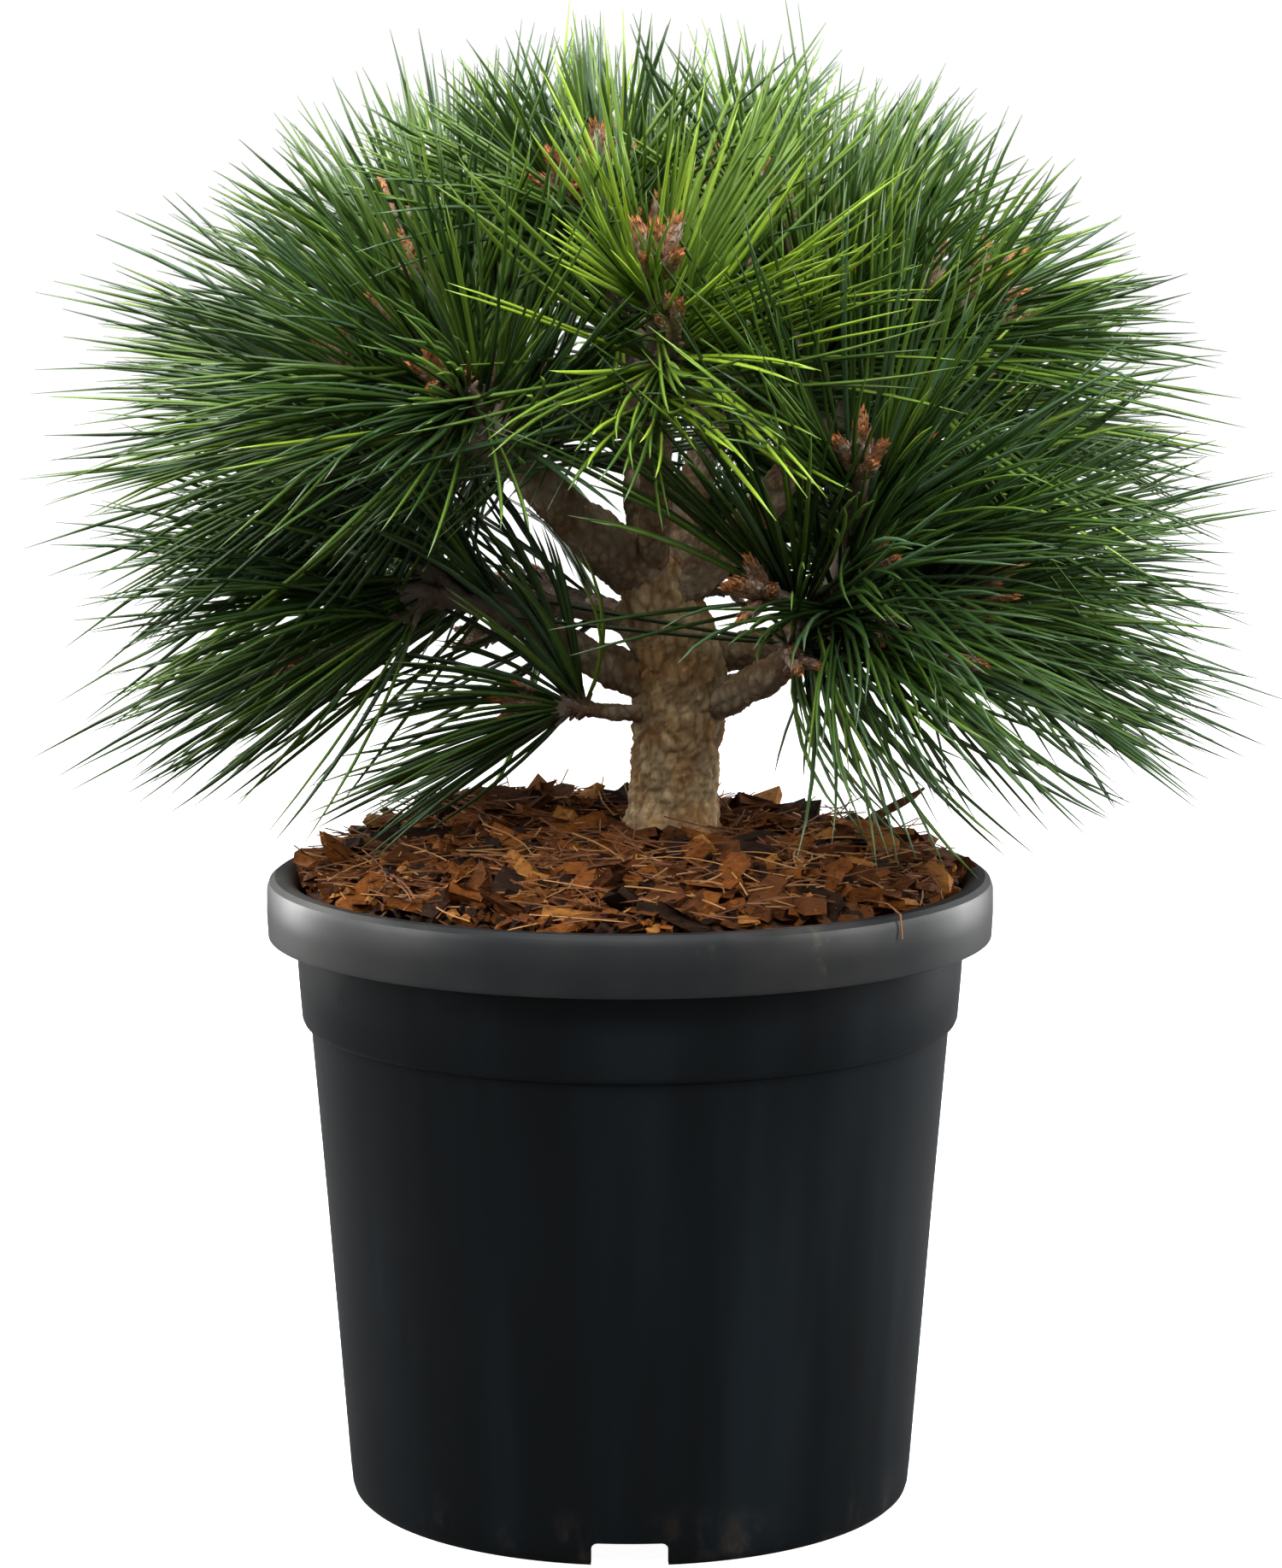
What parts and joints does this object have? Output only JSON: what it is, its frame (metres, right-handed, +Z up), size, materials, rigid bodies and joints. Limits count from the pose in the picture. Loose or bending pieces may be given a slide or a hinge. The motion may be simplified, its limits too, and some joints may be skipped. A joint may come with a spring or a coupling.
{
  "type": "potted austrian pine",
  "caption": "Young, broad Austrian pine with radiating needle shoots, in a tapered plastic nursery pot filled with coir chips.",
  "frame": {"origin": "middle of the pot's flat underside, on the surface that it stands on", "axes": "+Z up along the pot's axis, -Y towards the viewer of the picture, +X to the viewer's right"},
  "size_m": [0.4059, 0.3789, 0.4867],
  "materials": {
    "pot_plastic": "satin blue-black moulded plastic, dusty on the lip",
    "coir_soil": "red-brown coir chips and fibres",
    "trunk_bark": "rough grey-brown bark",
    "bough_bark": "knobbly grey-brown bark with old leaf bases",
    "needles": "stiff deep green needles, yellow-green when young"
  },
  "bodies": {
    "root": {"back_leader": "bough_bark", "back_leader_foliage_1": "needles", "back_leader_foliage_2": "needles", "back_leader_foliage_3": "needles", "back_left_bough": "bough_bark", "back_left_bough_foliage_1": "needles", "back_left_bough_foliage_2": "needles", "back_left_bough_foliage_3": "needles", "back_left_leader": "bough_bark", "back_left_leader_foliage_1": "needles", "back_left_leader_foliage_2": "needles", "back_left_leader_foliage_3": "needles", "back_right_bough": "bough_bark", "back_right_bough_foliage_1": "needles", "back_right_bough_foliage_2": "needles", "front_leader": "bough_bark", "front_leader_foliage_1": "needles", "left_bough": "bough_bark", "left_bough_foliage_1": "needles", "left_leader": "bough_bark", "left_leader_foliage_1": "needles", "left_leader_foliage_2": "needles", "left_leader_foliage_3": "needles", "low_twig": "bough_bark", "low_twig_foliage_1": "needles", "pot": "pot_plastic", "right_bough": "bough_bark", "right_bough_foliage_1": "needles", "right_bough_foliage_2": "needles", "right_bough_foliage_3": "needles", "right_leader": "bough_bark", "right_leader_foliage_1": "needles", "right_leader_foliage_2": "needles", "right_leader_foliage_3": "needles", "soil": "coir_soil", "top_leader": "bough_bark", "top_leader_foliage_1": "needles", "top_leader_foliage_2": "needles", "trunk": "trunk_bark"}
  },
  "joints": []
}
